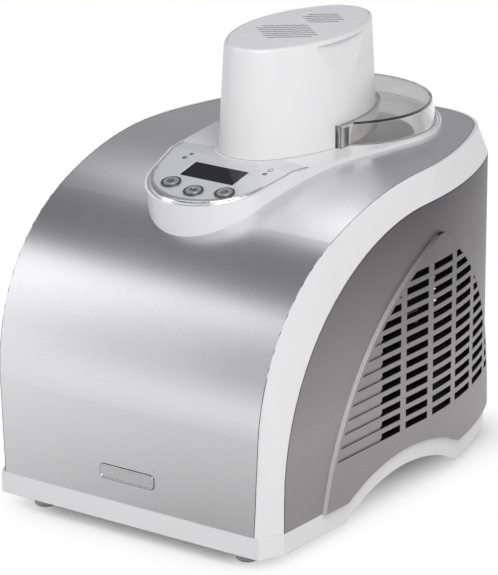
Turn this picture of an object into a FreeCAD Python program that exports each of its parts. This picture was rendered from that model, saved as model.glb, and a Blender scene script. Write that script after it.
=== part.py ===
import FreeCAD, Part
import Sketcher
import math
import os

os.makedirs("parts", exist_ok=True)
doc = FreeCAD.newDocument("ice_cream_maker")
V = FreeCAD.Vector

# Driving sizes in millimetres and degrees; a rise is measured from the top of the base
sizes = {
    # body
    "body_width": 278,
    "body_depth": 400,
    "foot_height": 12,
    "base_height": 18,
    "shoulder_rise": 81,
    "shoulder_radius": 155,
    "shoulder_turn": 65,
    "crown_radius": 300,
    "panel_margin": 14,
    "panel_flare": 0.046,
    "seam_inset": 21,
    "seam_rise": 28,
    "seam_radius": 190,
    "seam_turn": 55,
    "seam_crown_radius": 210,
    "flank_radius": 360,
    "flank_turn": 25.5,
    "rear_corner_radius": 61,
    "rear_fall": 17,
    "rear_panel_half_width": 58,
    "shell_wall": 3.5,
    "shell_shelf": 5,
    "cover_thickness": 1,
    "cover_rear_margin": 3,
    "panel_wall": 3,
    "panel_lip": 8,
    "seam_gap": 0.5,
    "badge_width": 54,
    "badge_height": 12,
    "badge_rise": 18,
    "badge_thickness": 0.8,
    "badge_corner": 4,
    # side grille
    "grille_rise": 3.5,
    "grille_front": 74,
    "grille_peak_back": 158,
    "grille_peak_rise": 194,
    "grille_peak_round": 18,
    "grille_rear": 32,
    "grille_front_bow": 32.8,
    "grille_rear_bow": 29.4,
    "grille_rows": 13,
    "grille_first_rise": 42,
    "grille_pitch": 10.4,
    "slot_height": 6,
    "slot_start": 78,
    "slot_first": 27,
    "slot_rib_pitch": 40,
    "slot_rib": 8,
    "slot_margin": 5,
    "groove_height": 2.6,
    "groove_depth": 1.2,
    "groove_lap": 1,
    # rear panel
    "rear_slot_rise": 66,
    "rear_slot_rows": 10,
    "rear_slot_edge": 22,
    "rear_slot_height": 5,
    "gland_rise": 26,
    "gland_radius": 9,
    "gland_bore": 4,
    "gland_depth": 7,
    "gland_lip": 3,
    "gland_stand": 0.8,
    # base
    "base_nose": 4,
    "arch_front": 110,
    "arch_rear": 126,
    "arch_toe": 4,
    "arch_rise": 24,
    "arch_band": 15,
    "base_wall": 4,
    "liner_wall": 3,
    "floor_rise": 10,
    "floor_thickness": 3,
    "foot_radius": 9,
    "foot_chamfer": 1.2,
    "foot_seat": 3,
    "foot_side": 37,
    "foot_front": 23,
    "foot_rear_side": 43,
    "foot_rear": 68,
    "post_wall": 3,
    "screw_radius": 1.8,
    "screw_head_radius": 4,
    "screw_head": 2.4,
    "screw_length": 7,
    "screw_side": 70,
    "screw_edge": 22,
    # island
    "bowl_rear_margin": 106,
    "island_share": 0.4425,
    "island_nose_radius": 57,
    "nose_lean": 0.15,
    "island_ring_radius": 87.5,
    "island_wall": 3,
    "island_low_rise": 234,
    "island_top_rise": 253,
    "island_slope_run": 27,
    "island_seat": 4,
    "skirt_depth": 9,
    "opening_radius": 79,
    "collar_wall": 2.5,
    "lid_groove": 1.2,
    "fascia_inset": 2.4,
    "fascia_thickness": 1.6,
    "fascia_run": 28,
    "fascia_sweep": 14,
    "trim_width": 9,
    "trim_height": 2.4,
    "window_width": 53,
    "window_depth": 24,
    "window_run": 2,
    "window_thickness": 1.4,
    "window_ledge": 2,
    "button_radius": 6.6,
    "button_ring": 1.8,
    "ring_height": 1.4,
    "button_x": 26.5,
    "button_shift": 2.2,
    "button_back": 23,
    "button_front_back": 29,
    "button_stand": 2.2,
    "button_depth": 5.2,
    "button_flange": 1.6,
    "button_flange_height": 1.2,
    "button_chamfer": 0.6,
    "button_dish": 0.5,
    "button_gap": 0.3,
    "lens_radius": 2.2,
    "lens_height": 1.4,
    "lens_x": 40,
    "lens_run": 16,
    # boards
    "module_edge": 2.4,
    "module_depth": 5.6,
    "board_width": 74,
    "board_length": 52,
    "board_depth": 12,
    "board_thickness": 1.6,
    "pillar_radius": 2.5,
    "plunger_radius": 3,
    # tower
    "tower_reach": 57,
    "tower_half_width": 50,
    "tower_half_length": 89.5,
    "tower_end_radius": 33,
    "tower_draft": 4.8,
    "tower_height": 91,
    "tower_wall": 3,
    "tower_gap": 0.2,
    "tower_edge": 2.4,
    "scoop_depth": 4.5,
    "scoop_ledge": 1.5,
    "scoop_height": 34,
    "plate_drop": 0.4,
    "plate_thickness": 2.5,
    "plate_gap": 0.2,
    "plate_ledge": 3,
    "plug_radius": 2.8,
    "plug_x": 23,
    "plug_reach": 45,
    "vent_radius": 26,
    "vent_rear_radius": 19.5,
    "vent_reach": 17,
    "vent_rear_reach": 35.5,
    "vent_slot": 1.4,
    "vent_length": 6.8,
    "vent_pitch": 4,
    "vent_step": 9.5,
    "vent_turn": 24,
    # lid
    "lid_height": 19,
    "lid_foot_radius": 83.5,
    "lid_top_radius": 79,
    "lid_wall": 2.5,
    "lid_reach": 75,
    "lid_half_width": 55,
    "lid_gap": 0.4,
    "lid_collar": 2.2,
    # bowl and paddle
    "bowl_low_rise": 118,
    "bowl_depth": 124,
    "bowl_radius": 66,
    "bowl_wall": 1.5,
    "bowl_chamfer": 6,
    "bowl_rim": 6,
    "bowl_pin": 5,
    "bowl_pin_height": 8,
    "well_gap": 0.8,
    "well_wall": 1.5,
    "seat_gap": 0.2,
    "evaporator_wall": 4,
    "evaporator_height": 100,
    "jacket_wall": 16,
    "jacket_lip": 4,
    "stand_radius": 70,
    "stand_ring": 16,
    "stand_height": 5,
    "paddle_reach": 62,
    "paddle_hub_radius": 10,
    "paddle_blade": 4,
    "paddle_lift": 4,
    "paddle_drop": 6,
    "blade_toe": 6,
    "blade_head": 22,
    "hollow_in": 16,
    "hollow_out": 8,
    "hollow_toe": 20,
    "hollow_head": 28,
    # drive
    "shaft_radius": 6,
    "shaft_flat": 1.6,
    "shaft_reach": 20,
    "shaft_grip": 16,
    "key_gap": 0.25,
    "shaft_fit": 0.06,
    "tooth_module": 1.25,
    "output_teeth": 40,
    "idler_teeth": 36,
    "pinion_teeth": 16,
    "gear_width": 8,
    "gear_rise": 7,
    "gear_gap": 1,
    "hub_radius": 9,
    "pin_radius": 3,
    "pinion_shaft": 2.5,
    "pinion_shaft_reach": 13,
    "plate_web": 3,
    "motor_radius": 20,
    "motor_height": 38,
    "motor_chamfer": 2,
    "motor_boss": 7,
    "motor_boss_height": 5,
    "motor_bore": 9,
    # cooling
    "compressor_radius": 50,
    "compressor_height": 120,
    "compressor_front": 104,
    "compressor_foot": 8,
    "compressor_dome": 14,
    "mount_height": 14,
    "mount_radius": 7,
    "mount_inset": 16,
    "fan_offset": 6,
    "fan_rim": 5,
    "fan_tip_gap": 1.5,
    "fan_head_gap": 1,
    "fan_depth": 24,
    "fan_hub": 13,
    "fan_hub_height": 12,
    "fan_vanes": 7,
    "vane_width": 14,
    "vane_thickness": 2,
    "vane_turn": 32,
    "strut_width": 6,
    "strut_thickness": 3,
    "axle_radius": 2,
    "condenser_gap": 12,
    "condenser_width": 26,
    "condenser_half": 46,
    "condenser_height": 92,
    "fin_count": 13,
    "fin_thickness": 1.2,
    "fin_spine": 4,
    "end_plate": 2,
    "pipe_radius": 3.5,
    "pipe_bend": 14,
    "pipe_rise": 70,
    "pipe_head": 24,
    "power_gap": 14,
    "power_width": 42,
    "power_height": 80,
    "power_thickness": 2,
    "power_part": 22,
}
# Places and heights that follow from the driving sizes
derived = {
    "half_width": "body_width / 2",
    "rear": "body_depth / 2",
    "front": "-1 * body_depth / 2",
    "panel_half_width": "body_width / 2 - panel_margin",
    "base_top": "foot_height + base_height",
    "floor_z": "base_top + floor_rise",
    "liner_top": "floor_z + floor_thickness",
    "bowl_y": "rear - bowl_rear_margin",
    "nose_y": "bowl_y - island_share * body_depth",
    "tower_y": "bowl_y - tower_reach",
    "compressor_y": "front + compressor_front",
    "island_low_z": "base_top + island_low_rise",
    "island_top_z": "base_top + island_top_rise",
    "slope_start": "nose_y - island_nose_radius",
    "slope_end": "nose_y + island_slope_run",
    "slope_rise": "(island_top_z - island_low_z) / (slope_end - slope_start)",
    "bowl_low_z": "base_top + bowl_low_rise",
    "bowl_high_z": "bowl_low_z + bowl_depth",
    "seat_z": "bowl_depth - bowl_wall - seat_gap",
    "well_in": "bowl_radius + well_gap",
    "well_out": "well_in + well_wall",
    "jacket_out": "bowl_radius + jacket_wall",
    "evaporator_out": "well_out + evaporator_wall",
    "well_foot": "-1 * well_gap - well_wall",
    "jacket_foot": "well_foot - jacket_wall",
    "tower_low": "island_top_z + tower_gap",
    "gear_low": "tower_low + gear_rise",
    "idler_low": "gear_low + gear_width + gear_gap",
    "plate_z": "idler_low + gear_width + 2 * gear_gap",
    "idler_y": "bowl_y - tooth_module * (output_teeth + pinion_teeth) / 2",
    "motor_y": "idler_y - tooth_module * (idler_teeth + pinion_teeth) / 2",
}
sheet = doc.addObject("Spreadsheet::Sheet", "sizes")
for row, (name, number) in enumerate(sizes.items(), 1):
    sheet.set("A%d" % row, name)
    sheet.set("B%d" % row, str(number))
    sheet.setAlias("B%d" % row, name)
for row, (name, text) in enumerate(derived.items(), len(sizes) + 1):
    sheet.set("A%d" % row, name)
    sheet.set("B%d" % row, "=" + text)
    sheet.setAlias("B%d" % row, name)
doc.recompute()


def size(name):
    return float(sheet.get(name))


subparts = []


def keep(label, thing):
    thing.Label = label
    subparts.append(thing)
    return thing


def shaped(label, shape):
    feature = doc.addObject("Part::Feature", label)
    feature.Shape = shape
    return keep(label, feature)


def formula(text):
    words = []
    for word in text.split(" "):
        words.append("sizes." + word if word in sizes or word in derived else word)
    return " ".join(words)


def place(thing, x="0", y="0", z="0"):
    for axis, text in (("x", x), ("y", y), ("z", z)):
        thing.setExpression("Placement.Base." + axis, formula(text))


def sketch_of(body, name, role, points):
    sketch = body.newObject("Sketcher::SketchObject", name)
    plane = next(item for item in body.Origin.OriginFeatures if item.Role == role)
    sketch.AttachmentSupport = [(plane, "")]
    sketch.MapMode = "FlatFace"
    count = len(points)
    for index in range(count):
        start = V(index, index * index, 0)
        end = V(index + 1, (index + 1) ** 2, 0)
        sketch.addGeometry(Part.LineSegment(start, end), False)
    for index in range(count):
        joint = Sketcher.Constraint("Coincident", index, 2, (index + 1) % count, 1)
        sketch.addConstraint(joint)
    for index, point in enumerate(points):
        for kind, text in zip(("DistanceX", "DistanceY"), point):
            rule = Sketcher.Constraint(kind, -1, 1, index, 1, 1.0 + index)
            number = sketch.addConstraint(rule)
            sketch.setExpression("Constraints[%d]" % number, formula(text))
    return sketch


# Body of revolution from a closed profile of radius and height
def turned(label, points, x="0", y="0", z="0", tilt=0.0):
    body = doc.addObject("PartDesign::Body", label)
    sketch = sketch_of(body, label + "_profile", "XZ_Plane", points)
    turn = body.newObject("PartDesign::Revolution", label + "_turn")
    turn.Profile = sketch
    turn.ReferenceAxis = (sketch, ["V_Axis"])
    turn.Angle = 360
    body.Placement.Rotation = FreeCAD.Rotation(V(1, 0, 0), tilt)
    place(body, x, y, z)
    return keep(label, body)


def extruded(wire, direction):
    return Part.Face(wire).extrude(direction)


def box(x0, x1, y0, y1, z0, z1):
    return Part.makeBox(x1 - x0, y1 - y0, z1 - z0, V(x0, y0, z0))


def column(radius, x, y, low, top):
    return Part.makeCylinder(radius, top - low, V(x, y, low))


def mirrored(shape):
    return shape.mirror(V(0, 0, 0), V(1, 0, 0))


def line(a, b):
    return Part.LineSegment(a, b).toShape()


def arc(centre, radius, start, end, spot):
    middle = (start + end) / 2
    ends = [spot(centre, radius, at) for at in (start, middle, end)]
    return Part.Arc(*ends).toShape()


half_width = size("half_width")
panel_half_width = size("panel_half_width")
front = size("front")
rear = size("rear")
foot_height = size("foot_height")
base_top = size("base_top")
gap = size("seam_gap")
wide = half_width + size("panel_margin")
beyond = rear + size("panel_margin")


# Side profile of the body: upright front, shoulder arc, crown arc, level top
class Arch:
    def __init__(self, start_y, rise, radius, turn, crown):
        self.start_y = start_y
        self.radius = radius
        self.crown = crown
        self.angle = math.radians(turn)
        self.first = (start_y + radius, base_top + rise)
        lean = (math.cos(self.angle), -math.sin(self.angle))
        self.second = tuple(c + (crown - radius) * part for c, part in zip(self.first, lean))
        self.crest = self.second[1] + crown

    def wire(self, inset=0.0, low=base_top):
        def spot(centre, reach, at):
            return V(0, centre[0] - reach * math.cos(at), centre[1] + reach * math.sin(at))

        small = self.radius - inset
        large = self.crown - inset
        foot = V(0, self.start_y + inset, low)
        crest = spot(self.second, large, math.pi / 2)
        back = V(0, beyond, crest.z)
        heel = V(0, beyond, low)
        return Part.Wire([
            line(foot, spot(self.first, small, 0)),
            arc(self.first, small, 0, self.angle, spot),
            arc(self.second, large, self.angle, math.pi / 2, spot),
            line(crest, back),
            line(back, heel),
            line(heel, foot),
        ])

    def block(self, inset=0.0, low=base_top):
        moved = self.wire(inset, low)
        moved.translate(V(-wide, 0, 0))
        return extruded(moved, V(2 * wide, 0, 0))


cover_arch = Arch(front, size("shoulder_rise"), size("shoulder_radius"), size("shoulder_turn"),
                  size("crown_radius"))
seam_arch = Arch(front + size("seam_inset"), size("seam_rise"), size("seam_radius"), size("seam_turn"),
                 size("seam_crown_radius"))
high = cover_arch.crest + size("tower_height")


# Plan of the body: bevelled front corners, straight sides, bowed flanks, rounded rear corners
def plan_wire(inset=0.0, z=0.0, fall=0.0, nose=0.0):
    turn = math.radians(size("flank_turn"))
    flank = size("flank_radius")
    corner = size("rear_corner_radius")
    back = rear - fall
    flank_y = back - flank * math.sin(turn) - corner * (1 - math.sin(turn))
    flank_centre = (half_width - flank, flank_y)
    corner_centre = (flank_centre[0] + (flank - corner) * math.cos(turn), back - corner)

    def spot(centre, reach, at):
        return V(centre[0] + reach * math.cos(at), centre[1] + reach * math.sin(at), z)

    bevel_x = size("panel_margin") - nose
    bevel_y = size("seam_inset")
    length = math.hypot(bevel_x, bevel_y)
    shift_y = inset * (length - bevel_x) / bevel_y
    shift_x = inset * (length - bevel_y) / bevel_x
    tip = V(half_width - bevel_x - shift_x, front + inset, z)
    cheek = V(half_width - inset, front + bevel_y + shift_y, z)
    side = spot(flank_centre, flank - inset, 0)
    tail = spot(corner_centre, corner - inset, math.pi / 2)
    right = [
        line(tip, cheek),
        line(cheek, side),
        arc(flank_centre, flank - inset, 0, turn, spot),
        arc(corner_centre, corner - inset, turn, math.pi / 2, spot),
    ]
    left = [mirrored(edge) for edge in right]
    joins = [line(V(-tip.x, tip.y, z), tip), line(tail, V(-tail.x, tail.y, z))]
    return Part.Wire(Part.__sortEdges__(right + left + joins))


def plan_block(inset, low, top, nose=0.0):
    return extruded(plan_wire(inset, low, 0.0, nose), V(0, 0, top - low))


def plan_ring(outer, inner, low, top, nose=0.0):
    return plan_block(outer, low, top, nose).cut(plan_block(inner, low, top))


# The plan draws in towards the rear above the side seam
def body_block(inset):
    lower = plan_block(inset, 0, seam_arch.crest)
    ends = [plan_wire(inset, seam_arch.crest), plan_wire(inset, cover_arch.crest, size("rear_fall"))]
    return lower.fuse(Part.makeLoft(ends, True, True))


# Outer form: ruled between the two seam profiles and the two edges of the metal cover
def flared(wire, way):
    matrix = FreeCAD.Matrix()
    matrix.A13 = way * size("panel_flare")
    matrix.A14 = way * (panel_half_width - size("panel_flare") * base_top)
    return wire.transformGeometry(matrix)


def moved_wire(wire, x):
    copy = wire.copy()
    copy.translate(V(x, 0, 0))
    return copy


sections = [
    moved_wire(seam_arch.wire(), -half_width),
    flared(cover_arch.wire(), -1),
    flared(cover_arch.wire(), 1),
    moved_wire(seam_arch.wire(), half_width),
]
form = Part.makeLoft(sections, True, True).common(body_block(0))

# Egg-shaped plan of the island
nose_y = size("nose_y")
bowl_y = size("bowl_y")


def egg_wire(inset=0.0, z=0.0):
    small = size("island_nose_radius") - inset - size("nose_lean") * (size("island_top_z") - z)
    large = size("island_ring_radius") - inset
    lean = math.asin((large - small) / (bowl_y - nose_y))
    touch_small = V(small * math.cos(lean), nose_y - small * math.sin(lean), z)
    touch_large = V(large * math.cos(lean), bowl_y - large * math.sin(lean), z)
    tip = V(0, nose_y - small, z)
    tail = V(0, bowl_y + large, z)
    other_small = V(-touch_small.x, touch_small.y, z)
    other_large = V(-touch_large.x, touch_large.y, z)
    return Part.Wire([
        Part.Arc(other_small, tip, touch_small).toShape(),
        line(touch_small, touch_large),
        Part.Arc(touch_large, tail, other_large).toShape(),
        line(other_large, other_small),
    ])


def egg_block(inset):
    return Part.makeLoft([egg_wire(inset, base_top), egg_wire(inset, high)], True, True)


island_hole = egg_block(size("island_seat"))

# Metal cover sheet between the flared side edges, rounded at the rear corners
low_half = panel_half_width - gap
high_half = low_half + size("panel_flare") * (high - base_top)
flare_points = [(-low_half, base_top), (low_half, base_top), (high_half, high), (-high_half, high)]
flare_corners = [V(x, front - wide, z) for x, z in flare_points]
flare_block = extruded(Part.makePolygon(flare_corners + flare_corners[:1]), V(0, 2 * beyond + wide, 0))
cover_plan = plan_wire(size("cover_rear_margin"), 0, size("rear_fall"))
cover_front = box(-wide, wide, front - wide, 0, 0, high)
cover_field = flare_block.common(extruded(cover_plan, V(0, 0, high)).fuse(cover_front))
cover_under = cover_arch.block(size("cover_thickness"), foot_height)
shaped("metal_cover", cover_arch.block().cut(cover_under).common(cover_field).cut(island_hole))
cover_room = cover_arch.block(-size("cover_thickness")).cut(cover_under).common(cover_field)

# White moulding under the cover, with the two side bands and the lip that carries the side panels
wall = size("shell_wall")
panel_wall = size("panel_wall")
liner_top = size("liner_top")
core = cover_arch.block(wall, foot_height).common(body_block(wall + gap))
core = core.common(box(-panel_half_width + size("shell_shelf"), panel_half_width - size("shell_shelf"),
                       front, rear, 0, high))
panel_room = seam_arch.block(0, foot_height).cut(plan_block(panel_wall, 0, high))
lip_room = seam_arch.block(size("panel_lip"), foot_height)
base_room = plan_block(size("base_wall"), 0, liner_top)
shaped("main_shell", form.cut([core, panel_room, lip_room, cover_room, island_hole, base_room]))

# Side panels: wall strip under the seam, with a raised slotted grille
strip = plan_ring(0, panel_wall, base_top, high).common(seam_arch.block(gap))
panel_x = size("rear_panel_half_width") + gap / 2
arch_front = front + size("arch_front")
arch_rear = rear - size("arch_rear")


def side_block(edges):
    return extruded(Part.Wire(edges), V(wide, 0, 0))


# Arched grip gap in the base and the higher arch of the base's upper edge
def grip_arch(low, grow):
    start = V(0, arch_front - size("arch_toe"), low)
    top = V(0, (arch_front + arch_rear) / 2, foot_height + size("arch_rise") + grow)
    end = V(0, arch_rear + size("arch_toe"), low)
    return side_block([Part.Arc(start, top, end).toShape(), line(end, start)])


# Arc from a to b in the side view that swells outwards by the bow
def bow_arc(a, b, bow):
    chord = b - a
    normal = V(0, -chord.z, chord.y).normalize()
    return Part.Arc(a, (a + b) / 2 + normal * bow, b).toShape()


grille_front = front + size("grille_front")


def grille_block(inset):
    start = V(0, grille_front + inset, base_top)
    crest = V(0, rear - size("grille_peak_back"), base_top + size("grille_peak_rise") - inset)
    end = V(0, rear - size("grille_rear") - inset, base_top)
    rise = bow_arc(start, crest, size("grille_front_bow"))
    fall = bow_arc(crest, end, size("grille_rear_bow"))
    block = side_block([rise, fall, line(end, start)])
    peak = []
    for edge in block.Edges:
        away = edge.valueAt(edge.FirstParameter) - crest
        if edge.BoundBox.XLength > wide / 2 and math.hypot(away.y, away.z) < gap:
            peak.append(edge)
    return block.makeFillet(size("grille_peak_round") - inset, peak)


raised = plan_ring(-size("grille_rise"), panel_wall, base_top, high).common(grille_block(0))
panel_front = front + size("seam_inset") + gap
panel = strip.common(box(panel_x, wide, panel_front, rear, 0, high)).fuse(raised)
panel = panel.cut(grip_arch(base_top, size("arch_band") + gap))
slot_field = grille_block(size("slot_margin"))
slot_start = grille_front + size("slot_start")
slots = []
grooves = []
for row in range(int(size("grille_rows"))):
    z = base_top + size("grille_first_rise") + row * size("grille_pitch")
    tall = size("slot_height") / 2
    slots.append(box(panel_x, wide, slot_start, rear, z - tall, z + tall))
    groove_top = z - tall + size("groove_height")
    grooves.append(box(panel_x, wide, front, slot_start + size("groove_lap"), z - tall, groove_top))
rib_y = slot_start + size("slot_first")
ribs = []
while rib_y < rear:
    ribs.append(box(0, wide, rib_y, rib_y + size("slot_rib"), 0, high))
    rib_y += size("slot_rib_pitch")
slots = Part.makeCompound(slots).common(slot_field).cut(Part.makeCompound(ribs))
groove_bed = size("groove_depth") - size("grille_rise")
groove_skin = plan_ring(-2 * size("grille_rise"), groove_bed, base_top, high)
grooves = Part.makeCompound(grooves).common(slot_field).common(groove_skin)
panel = panel.cut(slots).cut(grooves)
shaped("side_panel_right", panel)
shaped("side_panel_left", mirrored(panel))

# Rear panel with air slots and a round hole for the cord gland
rear_half = panel_x - gap
rear_sheet = strip.common(box(-rear_half, rear_half, 0, beyond, 0, high))
rear_slots = []
slot_out = rear_half - size("rear_slot_edge")
for row in range(int(size("rear_slot_rows"))):
    z = base_top + size("rear_slot_rise") + row * size("grille_pitch")
    slot_top = z + size("rear_slot_height")
    slot = box(size("slot_rib") / 2, slot_out, rear - 2 * panel_wall, beyond, z, slot_top)
    rear_slots += [slot, mirrored(slot)]
gland_z = base_top + size("gland_rise")
gland_hole = Part.makeCylinder(size("gland_radius"), wide, V(0, rear - wide / 2, gland_z), V(0, 1, 0))
shaped("rear_panel", rear_sheet.cut(Part.makeCompound(rear_slots)).cut(gland_hole))
gland_profile = [
    ("gland_bore", "-1 * gland_depth"),
    ("gland_radius", "-1 * gland_depth"),
    ("gland_radius", "0"),
    ("gland_radius + gland_lip", "0"),
    ("gland_radius + gland_lip", "gland_stand"),
    ("gland_bore", "gland_stand"),
]
turned("cord_gland", gland_profile, "0", "rear", "base_top + gland_rise", -90)

# Base tray with four foot posts and an arched grip gap on each side
base_wall = size("base_wall")
liner_in = base_wall + size("liner_wall")
arch_hump = grip_arch(base_top, size("arch_band"))
humps = plan_ring(0, base_wall, base_top, high).common(arch_hump.fuse(mirrored(arch_hump)))
liner = plan_ring(base_wall, liner_in, foot_height, liner_top)
floor = plan_block(liner_in, size("floor_z"), liner_top)
base = plan_ring(0, base_wall, foot_height, base_top, size("base_nose")).fuse([humps, liner, floor])
foot_spots = []
for way in (-1, 1):
    foot_spots.append((way * (half_width - size("foot_side")), front + size("foot_front")))
    foot_spots.append((way * (half_width - size("foot_rear_side")), rear - size("foot_rear")))
screw_spots = []
for way in (-1, 1):
    for y in (front + size("screw_edge"), rear - size("screw_edge")):
        screw_spots.append((way * (half_width - size("screw_side")), y))
seat_top = foot_height + size("foot_seat")
post_radius = size("foot_radius") + size("post_wall")
screw_tip = liner_top + size("screw_length")
base = base.fuse([column(post_radius, x, y, foot_height, size("floor_z")) for x, y in foot_spots])
holes = [column(size("foot_radius"), x, y, 0, seat_top) for x, y in foot_spots]
holes += [column(size("screw_radius"), x, y, foot_height, screw_tip) for x, y in screw_spots]
tunnel = grip_arch(foot_height - gap, 0).common(box(panel_x, wide, front, rear, 0, high))
shaped("base_tray", base.cut(holes + [tunnel, mirrored(tunnel)]))

feet = []
for x, y in foot_spots:
    toe = size("foot_radius") - size("foot_chamfer")
    cone = Part.makeCone(toe, size("foot_radius"), size("foot_chamfer"), V(x, y, 0))
    feet.append(cone.fuse(column(size("foot_radius"), x, y, size("foot_chamfer"), seat_top)))
shaped("rubber_feet", Part.makeCompound(feet))

# Island on the top: sloped control end, level ring round the bowl opening
top_z = size("island_top_z")
low_z = size("island_low_z")
slope_start = size("slope_start")
slope = math.degrees(math.atan(size("slope_rise")))


def roof_block(drop):
    toe = front - wide
    points = [
        (toe, low_z + (toe - slope_start) * size("slope_rise") - drop),
        (size("slope_end"), top_z - drop),
        (beyond, top_z - drop),
        (beyond, 0),
        (toe, 0),
    ]
    corners = [V(-wide, y, z) for y, z in points]
    return extruded(Part.makePolygon(corners + corners[:1]), V(2 * wide, 0, 0))


# Places a shape, made flat at the origin, on the slope at a distance behind the nose centre
def slanted(shape, run, x=0.0):
    copy = shape.copy()
    copy.rotate(V(0, 0, 0), V(1, 0, 0), slope)
    y = nose_y + run
    copy.translate(V(x, y, low_z + (y - slope_start) * size("slope_rise")))
    return copy


roof = roof_block(0)
island = egg_block(0).common(roof)
body = cover_arch.block()
inner = egg_block(size("island_wall")).common(roof_block(size("island_wall")))
seat = size("island_seat")
skirt_ring = egg_block(seat + gap).cut(egg_block(seat + size("island_wall")))
skirt = skirt_ring.common(body).cut(cover_arch.block(size("skirt_depth"), foot_height))
ledge_ring = egg_block(gap).cut(egg_block(seat + size("island_wall")))
ledge = ledge_ring.common(cover_arch.block(-size("collar_wall"))).cut(body)
collar_low = size("bowl_low_z") + size("seat_z")
opening = column(size("opening_radius"), 0, bowl_y, base_top, high)
collar = column(size("opening_radius") + size("collar_wall"), 0, bowl_y, collar_low, top_z - gap)
island = island.cut(body).cut(inner).fuse([skirt, ledge, collar]).cut(opening)
groove_in = size("lid_foot_radius") + size("lid_groove")
groove = column(groove_in + gap * 2, 0, bowl_y, top_z - size("lid_groove"), high)
groove = groove.cut(column(groove_in, 0, bowl_y, base_top, high))
island = island.cut(groove.common(box(-wide, wide, bowl_y - size("opening_radius"), beyond, 0, high)))

# Tower outline by height
tower_y = size("tower_y")
tower_low = size("tower_low")
tower_top = tower_low + size("tower_height")


# Oval of two end arcs and two side arcs that meet without a kink
def oval(inset, z):
    end = size("tower_end_radius")
    reach = size("tower_half_length") - end
    spare = size("tower_half_width") - end
    side_x = (reach * reach - spare * spare) / (2 * spare)
    side = size("tower_half_width") + side_x
    turn = math.atan2(reach, side_x)

    def spot(centre, radius, at):
        return V(centre[0] + radius * math.cos(at), tower_y + centre[1] + radius * math.sin(at), z)

    return Part.Wire([
        arc((-side_x, 0), side - inset, -turn, turn, spot),
        arc((0, reach), end - inset, turn, math.pi - turn, spot),
        arc((side_x, 0), side - inset, math.pi - turn, math.pi + turn, spot),
        arc((0, -reach), end - inset, math.pi + turn, 2 * math.pi - turn, spot),
    ])


def tower_oval(inset, z):
    share = (z - tower_low) / (tower_top - tower_low)
    return oval(inset + share * size("tower_draft"), z)


def tower_block(inset, low, top):
    return Part.makeLoft([tower_oval(inset, low), tower_oval(inset, top)], True, True)


# Fascia film, chrome crescent, display and buttons on the slope
thick = size("fascia_thickness")
fascia_rear = nose_y + size("fascia_run")
fascia_points = [
    (-wide, front),
    (-wide, fascia_rear),
    (0, fascia_rear + 2 * size("fascia_sweep")),
    (wide, fascia_rear),
    (wide, front),
]
fascia_corners = [V(x, y, base_top) for x, y in fascia_points]
fascia_cut = extruded(Part.makePolygon(fascia_corners + fascia_corners[:1]), V(0, 0, high))
fascia_field = egg_block(size("fascia_inset")).common(fascia_cut)
fascia_field = fascia_field.cut(tower_block(-size("tower_wall"), tower_low - wide, tower_top))
island = island.cut(fascia_field.cut(roof_block(thick)))
trim_in = egg_block(size("fascia_inset"))
trim_in.translate(V(0, size("trim_width"), 0))
crescent = fascia_field.cut(trim_in)
trim_skin = roof_block(thick - size("trim_height")).cut(roof_block(thick))
shaped("chrome_trim", crescent.common(trim_skin))


def window_box(edge, low, top):
    half_x = size("window_width") / 2 + edge
    half_y = size("window_depth") / 2 + edge
    return slanted(box(-half_x, half_x, -half_y, half_y, low, top), size("window_run"))


window = window_box(0, -size("window_thickness"), size("seam_gap") / 5)
window_hole = window_box(-size("window_ledge"), -2 * size("module_depth"), size("module_depth"))
shaped("display_window", window)
buttons = {
    "button_left": ("button_shift - button_x", "button_back"),
    "button_middle": ("button_shift", "button_front_back"),
    "button_right": ("button_shift + button_x", "button_back"),
}
button_spots = {}
for label, way in (("button_left", -1), ("button_middle", 0), ("button_right", 1)):
    button_spots[label] = size("button_shift") + way * size("button_x")
button_radius = size("button_radius")
flange_radius = button_radius + size("button_flange")
bores = []
flange_rooms = []
rings = []
for label, (x_text, back_text) in buttons.items():
    x = button_spots[label]
    flange_room = column(flange_radius + gap, 0, 0, -size("board_depth"), 0)
    flange_rooms.append(slanted(flange_room, -size(back_text), x))
    bore = column(button_radius + size("button_gap"), 0, 0, -size("board_depth"), size("board_depth"))
    bores.append(slanted(bore, -size(back_text), x))
    ring = column(button_radius + size("button_ring"), 0, 0, 0, size("ring_height")).cut(bore)
    rings.append(slanted(ring, -size(back_text), x))
lenses = []
lens_holes = []
lens_low = size("seam_gap") / 5 - size("lens_height")
for way in (-1, 1):
    x = way * size("lens_x")
    lens = column(size("lens_radius"), 0, 0, lens_low, lens_low + size("lens_height"))
    lenses.append(slanted(lens, size("lens_run"), x))
    hole = column(size("lens_radius"), 0, 0, lens_low, size("board_depth"))
    lens_holes.append(slanted(hole, size("lens_run"), x))
fascia = fascia_field.common(roof).cut(roof_block(thick))
shaped("control_fascia", fascia.cut([crescent, window, window_hole] + bores + lens_holes))
shaped("top_island", island.cut([window_hole] + bores))
shaped("button_rings", Part.makeCompound(rings))
shaped("indicator_lenses", Part.makeCompound(lenses))
button_profile = [
    ("0", "-1 * button_depth"),
    ("button_radius + button_flange", "-1 * button_depth"),
    ("button_radius + button_flange", "button_flange_height - button_depth"),
    ("button_radius", "button_flange_height - button_depth"),
    ("button_radius", "button_stand - button_chamfer"),
    ("button_radius - button_chamfer", "button_stand"),
    ("button_radius - 3 * button_chamfer", "button_stand"),
    ("0", "button_stand - button_dish"),
]
for label, (x_text, back_text) in buttons.items():
    z_text = "island_low_z + ( nose_y - %s - slope_start ) * slope_rise" % back_text
    turned(label, button_profile, x_text, "nose_y - " + back_text, z_text, slope)

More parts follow.
